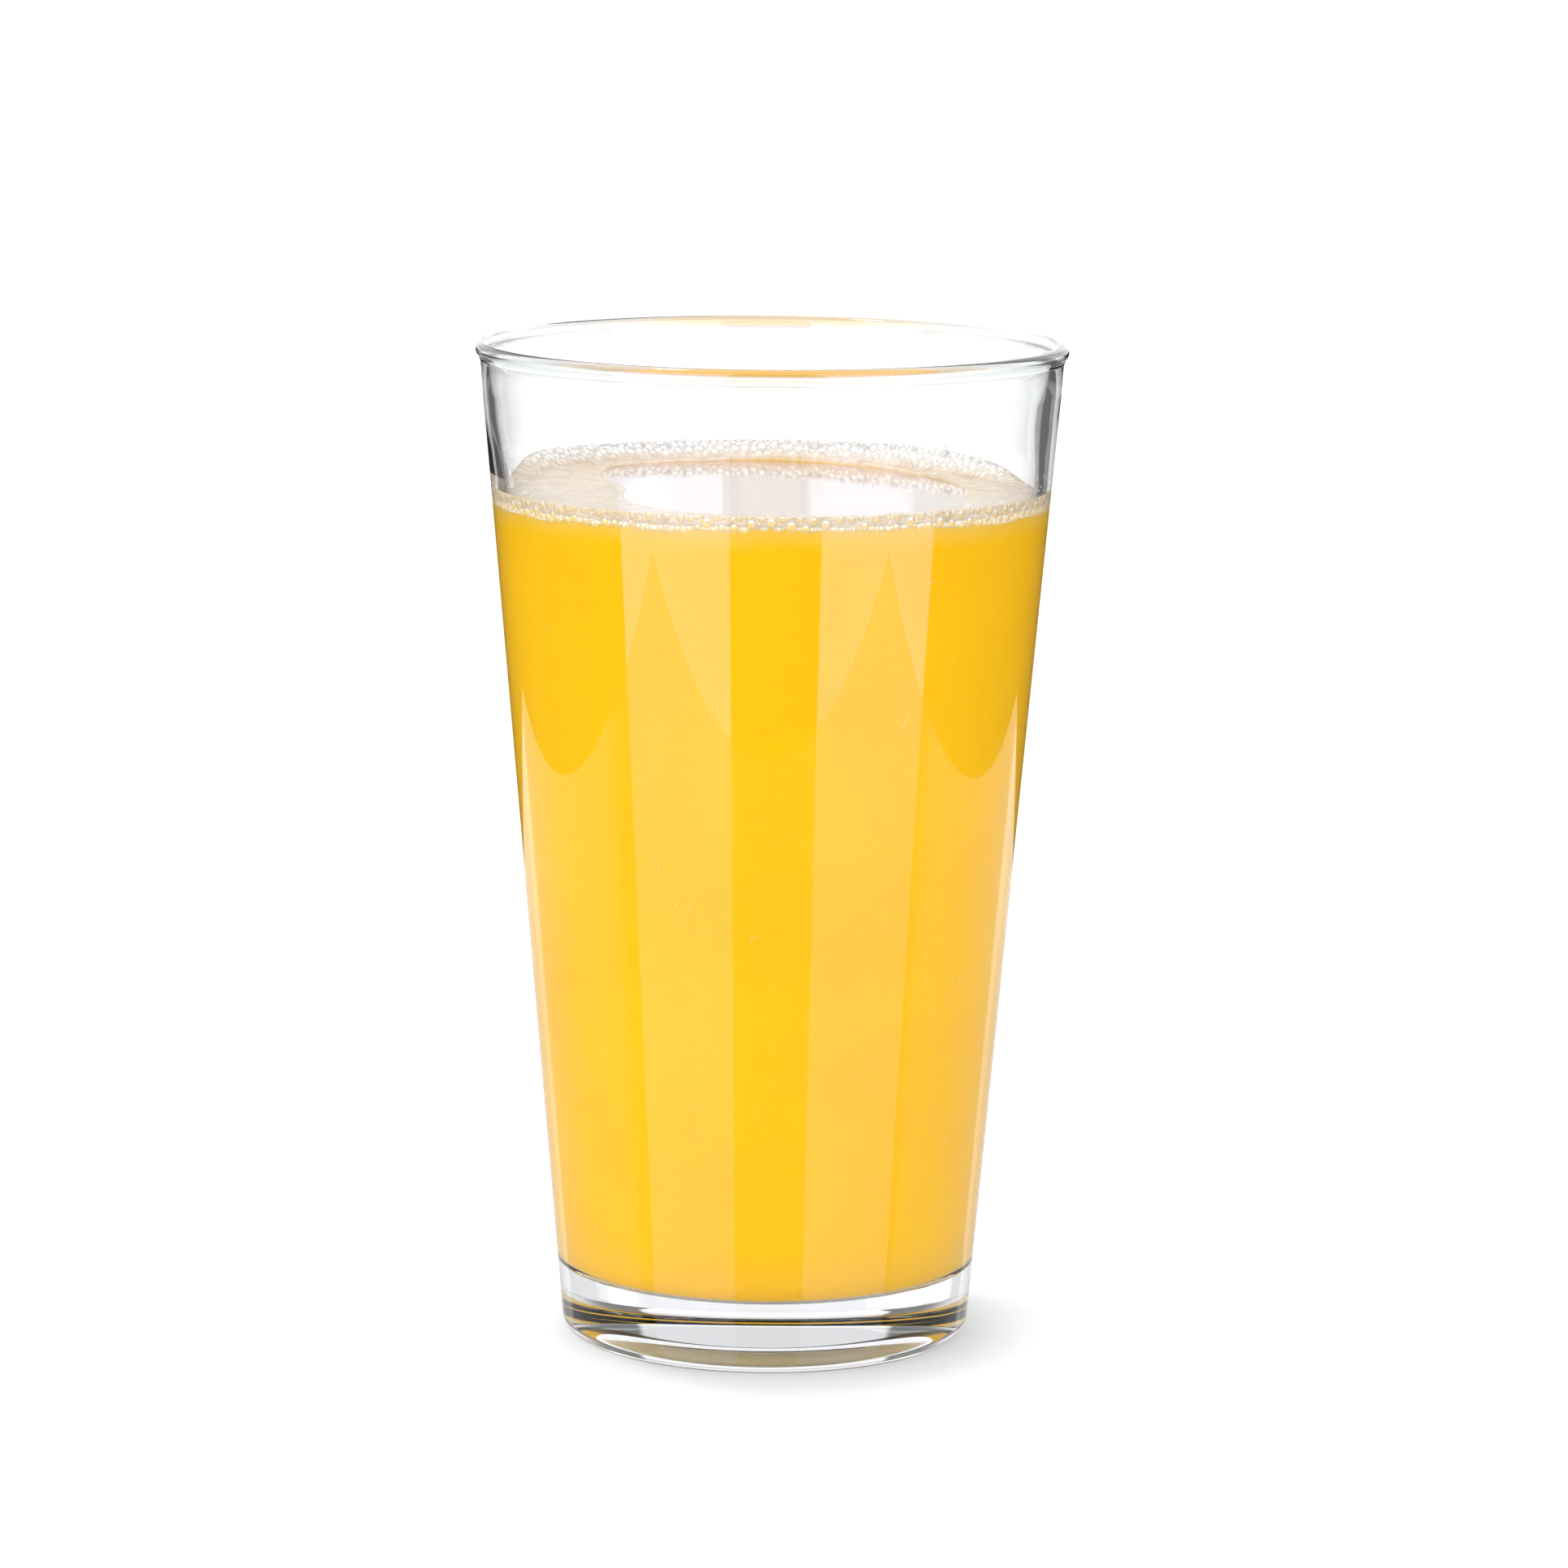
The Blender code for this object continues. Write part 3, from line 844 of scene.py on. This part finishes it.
def froth_wall():
    """Grid (section, azimuth) of the froth's face against the glass, with its colour shares.

    Packed domes push the face into the wall, large ones first and small ones in the gaps. Below a wavy
    line the face between them sinks into the juice, so that its lower edge is a ragged line of cells.
    The larger cells carry a painted glint, a white painted highlight near their top.
    """
    level = bpy.context.scene.juice_drink.level
    draw = np.random.default_rng(19)
    turns, rows = 2200, 42
    a = np.linspace(0, 360, turns, endpoint=False)
    wall = inner_radius(level)
    width = 2 * math.pi * wall
    span = 6.4 * MM
    low = level - 3.4 * MM
    big_sizes = 0.36 * MM + 0.62 * MM * np.linspace(1, 0, 900) ** 2.2
    big = scatter(draw, 620, width, 2.3 * MM, big_sizes, 0.90)
    big[:, 1] += 1.7 * MM
    small_sizes = 0.17 * MM + 0.24 * MM * np.linspace(1, 0, 8000) ** 2
    small = scatter(draw, 8000, width, span, small_sizes, 0.88)
    dx = (small[:, None, 0] - big[:, 0] + width / 2) % width - width / 2
    gap = np.hypot(dx, small[:, None, 1] - big[:, 1]) - big[:, 2]
    spots = np.concatenate([big, small[gap.min(axis=1) > 0.05 * MM]])
    top = foam_top(a, wall - 0.4 * MM) + 0.1 * MM
    s = np.linspace(0, 1, rows)[:, None]
    z = low + (top[None, :] - low) * s
    x = np.repeat((np.radians(a) * wall)[None, :], rows, axis=0)
    angle = np.radians(a)
    waves = 0.30 * MM * np.sin(3 * angle + 0.4) * np.sin(7 * angle) + 0.14 * MM * np.sin(23 * angle)
    edge = level - 1.1 * MM - 0.9 * MM * np.cos(angle) ** 4 + waves
    sunk = np.clip((edge[None, :] - z) / (0.8 * MM), 0, 1)
    reach, sink = 0.50, 0.24 * MM
    cover = np.clip(JUICE_BITE - FOAM_BITE * (1 - sunk) + sink * sunk, 0, None) / reach
    bulge, rim, lift, size = dome_relief(x, z - low, spots, width, 0.30, cover)
    out = FOAM_BITE * (1 - sunk) - sink * sunk + reach * bulge
    out = out * np.clip((z - low) / (0.3 * MM), 0, 1)
    r = inner_radius(z) + out
    back_r = np.stack([r[-1] - 0.9 * MM, r[0] - 0.9 * MM])
    back_z = np.stack([z[-1] - 0.2 * MM, z[0]])
    r = np.concatenate([r, back_r])
    z = np.concatenate([z, back_z])
    plain = np.ones((2, turns))
    tone = (size * 4.7e6) % 1.0
    # Painted highlight share: an arc near the top of each larger cell
    painted_glint = np.clip((rim - 0.25) / 0.12, 0, 1) * np.clip((0.78 - rim) / 0.12, 0, 1)
    painted_glint = painted_glint * np.clip((lift - 0.72 * rim) / 0.10, 0, 1)
    painted_glint = painted_glint * np.clip((size - 0.30 * MM) / (0.1 * MM), 0, 1)
    cells = {
        "painted_glint": np.concatenate([painted_glint, plain - 1]),
        "cell": np.concatenate([rim, plain]),
        "lift": np.concatenate([lift, plain]),
        "tone": np.concatenate([tone, plain]),
    }
    return ring_points(a, r, z), cells


def clear_bubbles(draw, count):
    """Centres and radii of clear bubbles along the top of the bank, and a few lone ones on the froth."""
    level = bpy.context.scene.juice_drink.level
    azimuth = draw.uniform(28, 158, count)
    azimuth[::7] = draw.uniform(0, 360, len(azimuth[::7]))
    radius = 0.26 * MM + 0.42 * MM * draw.random(count) ** 2.2
    outermost = inner_radius(level + 2.0 * MM) + 0.05 * MM - radius
    r = outermost - draw.random(count) ** 2 * 1.2 * MM
    z = foam_top(azimuth, r) + 0.35 * radius
    a = np.radians(azimuth)
    return np.stack([r * np.cos(a), r * np.sin(a), z], axis=1), radius


def wall_drops(draw):
    """Centres and radii of small drops left on the wall above the foam, in two clusters, and lone ones."""
    level = bpy.context.scene.juice_drink.level
    left = np.stack([draw.normal(186, 6, 46), 0.9 + 5.2 * draw.random(46) ** 1.6], axis=1)
    right = np.stack([draw.normal(-8, 7, 40), 0.9 + 3.2 * draw.random(40) ** 1.4], axis=1)
    lone = np.array([[198.0, 6.6], [203.0, 5.9], [215.0, 4.8], [324.0, 5.0], [150.0, 5.6], [36.0, 4.9]])
    spots = np.concatenate([left, right, lone])
    radius = 0.07 * MM + 0.15 * MM * draw.random(len(spots)) ** 2
    z = level + spots[:, 1] * MM
    r = inner_radius(z) - 0.2 * radius
    a = np.radians(spots[:, 0])
    return np.stack([r * np.cos(a), r * np.sin(a), z], axis=1), radius


def fibre_paths(draw, count, steps):
    """Short curved strands that lie along the wall: each turns slowly as it runs."""
    level = bpy.context.scene.juice_drink.level
    z0 = draw.uniform(0.018, level - 0.008, count)
    a0 = draw.uniform(0, 2 * math.pi, count)
    heading = draw.uniform(0, 2 * math.pi, count)
    curl = draw.uniform(-2.4, 2.4, count)
    length = draw.uniform(1.2, 4.5, count) * MM
    t = np.linspace(-0.5, 0.5, steps)[None, :]
    turn = heading[:, None] + curl[:, None] * t
    step = length[:, None] / steps
    across = np.cumsum(np.cos(turn) * step, axis=1)
    z = z0[:, None] + np.cumsum(np.sin(turn) * step, axis=1)
    r = inner_radius(z) + JUICE_BITE
    angle = a0[:, None] + across / r
    return np.stack([r * np.cos(angle), r * np.sin(angle), z], axis=-1)


def keep(obj, nodes):
    """Lets a piece ride on the body and stand for a node."""
    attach(obj, BODY)
    if nodes:
        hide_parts(*nodes)
    return obj


class OBJECT_OT_juice_glass(bpy.types.Operator):
    """Builds the clear glass."""

    bl_idname = "object.juice_glass_build"
    bl_label = "Glass"

    def execute(self, context):
        verts, faces = turned(glass_profile(), 256, glass_waves)
        obj = add_mesh("clear_tumbler", verts, faces, [clear_glass_material()])
        keep(obj, ["glass"])
        return {"FINISHED"}


class OBJECT_OT_juice_drink(bpy.types.Operator):
    """Builds the juice with its pool."""

    bl_idname = "object.juice_drink_build"
    bl_label = "Juice"

    def execute(self, context):
        verts, faces = turned(juice_profile(), 192)
        obj = add_mesh("orange_juice_body", verts, faces, [juice_side_material(), juice_pool_material()])
        level = context.scene.juice_drink.level
        mesh = obj.data
        centres = np.zeros(len(mesh.polygons) * 3)
        mesh.polygons.foreach_get("center", centres)
        pool = centres.reshape(-1, 3)[:, 2] > level - 0.02 * MM
        mesh.polygons.foreach_set("material_index", pool.astype(np.int32))
        mesh.set_sharp_from_angle(angle=math.radians(40))
        keep(obj, ["juice"])
        return {"FINISHED"}


class OBJECT_OT_juice_pulp(bpy.types.Operator):
    """Lays strands and specks of pulp along the wall."""

    bl_idname = "object.juice_pulp_build"
    bl_label = "Pulp"

    def execute(self, context):
        draw = np.random.default_rng(11)
        count = context.scene.juice_drink.fibres
        steps = 9
        paths = fibre_paths(draw, count, steps)
        taper = np.sin(np.linspace(0.12, math.pi - 0.12, steps))[None, :]
        radii = draw.uniform(0.05, 0.10, count)[:, None] * MM * taper
        verts, faces = tubes(paths, radii, 6)
        material = pulp_material()
        keep(add_mesh("pulp_fibres", verts, faces, [material]), [])
        specks = 60
        level = context.scene.juice_drink.level
        z = draw.uniform(0.016, level - 0.006, specks)
        a = draw.uniform(0, 2 * math.pi, specks)
        r = inner_radius(z) + 0.5 * JUICE_BITE
        centres = np.stack([r * np.cos(a), r * np.sin(a), z], axis=1)
        verts, faces = balls(centres, draw.uniform(0.06, 0.16, specks) * MM, 8, 5)
        keep(add_mesh("pulp_specks", verts, faces, [material]), [])
        return {"FINISHED"}


class OBJECT_OT_juice_foam(bpy.types.Operator):
    """Builds the ring of froth."""

    bl_idname = "object.juice_foam_build"
    bl_label = "Foam"

    def execute(self, context):
        top, top_shares = froth_top()
        wall, wall_shares = froth_wall()
        pieces = (
            ("froth_top", top[::-1], top_shares, froth_top_material()),
            ("froth_wall", wall, wall_shares, froth_wall_material()),
        )
        for name, verts, shares, material in pieces:
            if name == "froth_top":
                shares = {key: values[::-1] for key, values in shares.items()}
            faces = grid_faces(*verts.shape[:2], True)
            obj = add_mesh(name, verts.reshape(-1, 3), [faces], [material], shares)
            keep(obj, ["foam"])
        return {"FINISHED"}


class OBJECT_OT_juice_bubbles(bpy.types.Operator):
    """Adds the clear bubbles on the froth and the drops on the wall."""

    bl_idname = "object.juice_bubbles_build"
    bl_label = "Bubbles"

    def execute(self, context):
        draw = np.random.default_rng(23)
        centres, radii = clear_bubbles(draw, context.scene.juice_foam.bubbles)
        verts, faces = balls(centres, radii, 12, 7)
        material = bubble_material()
        keep(add_mesh("clear_bubbles", verts, faces, [material]), [])
        centres, radii = wall_drops(draw)
        verts, faces = balls(centres, radii, 8, 5)
        keep(add_mesh("wall_drops", verts, faces, [material]), [])
        return {"FINISHED"}


def direction_angles(n):
    """Azimuth from +Y towards +X and elevation of the world's direction, in degrees."""
    x, y, z = n.parts(n.add("ShaderNodeTexCoord").outputs["Generated"])
    azimuth = n.math("DEGREES", n.math("ARCTAN2", x, y))
    elevation = n.math("DEGREES", n.math("ARCSINE", z))
    return azimuth, elevation


def two_panels(n, azimuth, elevation, lowest, soft):
    """1 in the two window panels in front, which reach from the lowest elevation up to 50 degrees."""
    left, right = (n.between(azimuth, start, end, 0.6) for start, end in PANELS)
    return n.math("MULTIPLY", n.math("ADD", left, right), n.between(elevation, lowest, 50.0, soft))


def seen_through_glass(n, azimuth, elevation):
    """Brightness of the room through the glass: a bright backdrop, dark beside it, pale at the sides.

    In front stand the two panels, which the bubbles mirror through the wall.
    """
    away = n.math("ABSOLUTE", azimuth)
    half = n.span(elevation, -8.0, 5.0, 18.5, 27.0, smooth=False)
    past = n.math("SUBTRACT", away, half)
    low_part = n.span(elevation, 1.0, 4.0, 1.30, 1.10)
    glow = n.math("MULTIPLY", low_part, n.span(elevation, 9.5, 12.0, 1.0, 0.72))
    backdrop = n.math("MULTIPLY", glow, n.span(past, -1.2, 1.2, 1.0, 0.0))
    dark = n.span(past, -1.2, 1.2, 0.0, 0.18)
    side = n.math("MULTIPLY", n.span(away, 38.0, 60.0, 0.0, 0.70), n.span(away, 95.0, 115.0, 1.0, 0.10))
    room = n.math("ADD", n.math("ADD", backdrop, dark), side)
    room = n.math("MAXIMUM", room, n.span(away, 165.0, 169.0, 0.0, 0.85))
    room = n.math("MULTIPLY", room, n.span(elevation, 19.0, 22.0, 1.0, 0.12))
    panels = two_panels(n, azimuth, elevation, 3.0, 2.0)
    return n.math("ADD", room, n.math("MULTIPLY", panels, PANEL_STRENGTH))


def seen_in_reflection(n, azimuth, elevation):
    """Brightness of the room in reflections: two tall panels in front, a white back, pale high sides.

    The panels are dimmer where their reflections lie over the foam and the pool. The outer wall leans,
    so it turns a ray down by twice the lean, times the cosine of half the angle to the panel.
    """
    away = n.math("ABSOLUTE", azimuth)
    half_turn = n.math("MULTIPLY", n.math("SUBTRACT", 180.0, away), 0.5)
    lowered = n.math("MULTIPLY", n.math("COSINE", n.math("RADIANS", half_turn)), LEAN_TWICE)
    past_level = n.math("ADD", elevation, n.math("ADD", lowered, -LEVEL_SEEN_AT))
    below = n.span(elevation, -10.0, -8.0, 1.0, 0.0)
    dimmed = n.math("MULTIPLY", n.span(past_level, -0.15, 0.10, 0.0, 0.60), below)
    even = n.math("MULTIPLY", n.span(elevation, -22.0, -16.0, 0.80, 1.0), n.math("SUBTRACT", 1.0, dimmed))
    panels = n.math("MULTIPLY", two_panels(n, azimuth, elevation, -60.0, 4.0), even)
    half = n.span(elevation, -2.0, 2.0, 10.0, 37.0)
    back = n.span(n.math("SUBTRACT", away, half), -1.5, 1.5, 1.5, 0.05)
    side = n.math("MULTIPLY", n.between(away, 30.0, 105.0, 6.0), n.span(elevation, 0.0, 4.0))
    plain = n.math("ADD", back, n.math("MULTIPLY", side, 1.2))
    return panels, plain


def room_light(n, azimuth, elevation):
    """Brightness of the room on matt surfaces: a broad key in front, fills beside it and an overhead."""
    from_key = n.math("ABSOLUTE", n.math("ADD", azimuth, 167.0))
    from_key = n.math("SUBTRACT", 180.0, n.math("ABSOLUTE", n.math("SUBTRACT", from_key, 180.0)))
    key = n.span(from_key, 10.0, 95.0, 2.15, 0.40)
    key = n.math("MULTIPLY", key, n.span(elevation, 20.0, 60.0, 1.0, 0.5))
    beside = n.between(n.math("ABSOLUTE", azimuth), 76.0, 112.0, 8.0)
    fill = n.math("MULTIPLY", beside, n.span(elevation, 30.0, 60.0, 1.0, 0.0))
    light = n.math("ADD", key, n.math("MULTIPLY", fill, 1.1))
    return n.math("ADD", light, n.span(elevation, 60.0, 82.0, 0.0, 3.4))


def make_room():
    """World whose brightness depends on the direction and on the kind of ray that sees it."""
    world = bpy.data.worlds.new("studio")
    world.use_nodes = True
    bpy.context.scene.world = world
    n = Nodes(world.node_tree)
    azimuth, elevation = direction_angles(n)
    panels, plain = seen_in_reflection(n, azimuth, elevation)

    def glow(colour, strength):
        return n.shader("ShaderNodeBackground", Color=colour, Strength=strength)

    seen = glow((1.0, 1.0, 1.0), seen_through_glass(n, azimuth, elevation))
    panes = glow((0.45, 0.53, 0.85), n.math("MULTIPLY", panels, PANEL_STRENGTH))
    mirror = n.sum(panes, glow((1.0, 1.0, 1.0), plain))
    matt = glow((1.0, 1.0, 1.0), room_light(n, azimuth, elevation))
    white = glow((1.0, 1.0, 1.0), 1.05)
    path = n.add("ShaderNodeLightPath").outputs
    mix = n.either(path["Is Glossy Ray"], matt, mirror)
    mix = n.either(path["Is Transmission Ray"], mix, seen)
    mix = n.either(path["Is Camera Ray"], mix, white)
    out = n.add("ShaderNodeOutputWorld")
    n.put(out.inputs["Surface"], mix)


def make_plane(name, low, high, z, material):
    """A flat rectangle facing up."""
    corners = ((low[0], low[1]), (high[0], low[1]), (high[0], high[1]), (low[0], high[1]))
    verts = np.array([(x, y, z) for x, y in corners])
    obj = add_mesh(name, verts, [np.array([[0, 1, 2, 3]])], [material])
    return obj


def make_floor():
    """A pale matt floor, and a glossy white table top that only reflections and clear glass see, whose matt
    part is a painted grey shade.

    The floor has a painted contact shadow that darkens it a little close to the foot, mostly in front, and
    a painted glow that brightens it a little away from it.
    """
    material, n = new_material("pale_floor_painted_shadow")
    tone = n.span(n.noise(3.0, 2.0), 0.3, 0.7, 0.90, 0.92)
    far = n.distance((0.0, -0.010, 0.0))
    # Painted glow: the floor lights up a little away from the foot
    lift = n.span(far, 0.027, 0.052, 0.0, 0.22)
    # Painted contact shadow: darker close to the foot, mostly in front
    tone = n.math("MULTIPLY", tone, n.span(far, 0.018, 0.040, 0.84, 1.0))
    matt = n.shader("ShaderNodeBsdfDiffuse", Color=n.blend(tone, (0, 0, 0), (1, 1, 1)))
    n.finish(n.sum(matt, n.shader("ShaderNodeEmission", Color=(1.0, 1.0, 1.0), Strength=lift)))
    floor = make_plane("floor", (-8.0, -8.0), (8.0, 8.0), 0.0, material)
    floor.visible_glossy = False
    floor.visible_transmission = False
    material, n = new_material("white_table_painted_shade")
    path = n.add("ShaderNodeLightPath").outputs
    # Painted shade: the table's matt part is grey, darker in reflections than through the glass
    tone = n.blend(path["Is Transmission Ray"], (0.24, 0.24, 0.25), (0.50, 0.50, 0.53))
    matt = n.shader("ShaderNodeBsdfDiffuse", Color=tone)
    gloss = n.shader("ShaderNodeBsdfGlossy", Color=(1.0, 1.0, 1.0), Roughness=0.02)
    far = n.distance((0.0, 0.0, 0.0))
    n.finish(n.either(n.span(far, 0.20, 0.34, 0.38, 0.50), matt, gloss))
    table = make_plane("table_top", (-0.345, -0.31), (0.345, 0.36), 0.0, material)
    table.visible_camera = False
    table.visible_diffuse = False
    table.visible_shadow = False


def make_camera():
    """The photograph's viewpoint: 0.93 m away, looking 9.4 degrees down through a long lens."""
    data = bpy.data.cameras.new("camera")
    data.lens = 142.5
    data.sensor_width = 36.0
    data.clip_start = 0.01
    data.clip_end = 100.0
    camera = bpy.data.objects.new("camera", data)
    bpy.context.scene.collection.objects.link(camera)
    pitch, roll, yaw = math.radians(9.430), math.radians(0.482), math.radians(0.141)
    ahead = Vector((math.sin(yaw) * math.cos(pitch), math.cos(yaw) * math.cos(pitch), -math.sin(pitch)))
    level = Vector((math.cos(yaw), -math.sin(yaw), 0.0))
    above = level.cross(ahead)
    right = level * math.cos(roll) + above * math.sin(roll)
    up = above * math.cos(roll) - level * math.sin(roll)
    turn = Matrix((right, up, -ahead)).transposed().to_4x4()
    distance, height = 0.9267, 0.2382
    camera.matrix_world = Matrix.Translation((0.0, -distance, height)) @ turn
    bpy.context.scene.camera = camera


def make_lamp():
    """A soft lamp overhead, a little behind and to the left, for the glints on the froth."""
    data = bpy.data.lights.new("overhead", "AREA")
    data.shape = "RECTANGLE"
    data.size = 0.12
    data.size_y = 0.08
    data.energy = 1.7
    lamp = bpy.data.objects.new("overhead", data)
    bpy.context.scene.collection.objects.link(lamp)
    spot = Vector((-0.25, 0.18, 0.95))
    aim = (Vector((0, 0, 0.12)) - spot).to_track_quat("-Z", "Y")
    lamp.matrix_world = Matrix.Translation(spot) @ aim.to_matrix().to_4x4()
    lamp.visible_camera = False
    lamp.visible_transmission = False


class SCENE_OT_juice_studio(bpy.types.Operator):
    """Sets up the room, the floor, the lamp and the camera."""

    bl_idname = "scene.juice_studio_build"
    bl_label = "Studio"

    def execute(self, context):
        make_room()
        make_floor()
        make_lamp()
        make_camera()
        context.scene.view_settings.view_transform = "Standard"
        return {"FINISHED"}


OPERATORS = (
    OBJECT_OT_juice_glass,
    OBJECT_OT_juice_drink,
    OBJECT_OT_juice_pulp,
    OBJECT_OT_juice_foam,
    OBJECT_OT_juice_bubbles,
    SCENE_OT_juice_studio,
)


class VIEW3D_PT_juice(bpy.types.Panel):
    """Lists the pieces and their sizes."""

    bl_label = "Glass of orange juice"
    bl_idname = "VIEW3D_PT_juice"
    bl_space_type = "VIEW_3D"
    bl_region_type = "UI"
    bl_category = "Juice"

    def draw(self, context):
        for operator in OPERATORS:
            self.layout.operator(operator.bl_idname)
        for group in ("juice_glass", "juice_drink", "juice_foam"):
            settings = getattr(context.scene, group)
            box = self.layout.box()
            for key in settings.__annotations__:
                box.prop(settings, key)


GROUPS = (
    ("juice_glass", GlassSettings),
    ("juice_drink", JuiceSettings),
    ("juice_foam", FoamSettings),
)


def register():
    for name, group in GROUPS:
        bpy.utils.register_class(group)
        setattr(bpy.types.Scene, name, PointerProperty(type=group))
    for operator in OPERATORS:
        bpy.utils.register_class(operator)
    bpy.utils.register_class(VIEW3D_PT_juice)


def unregister():
    bpy.utils.unregister_class(VIEW3D_PT_juice)
    for operator in reversed(OPERATORS):
        bpy.utils.unregister_class(operator)
    for name, group in reversed(GROUPS):
        delattr(bpy.types.Scene, name)
        bpy.utils.unregister_class(group)


def main():
    register()
    bpy.ops.object.juice_glass_build()
    bpy.ops.object.juice_drink_build()
    bpy.ops.object.juice_pulp_build()
    bpy.ops.object.juice_foam_build()
    bpy.ops.object.juice_bubbles_build()
    bpy.ops.scene.juice_studio_build()


if __name__ == "__main__":
    main()
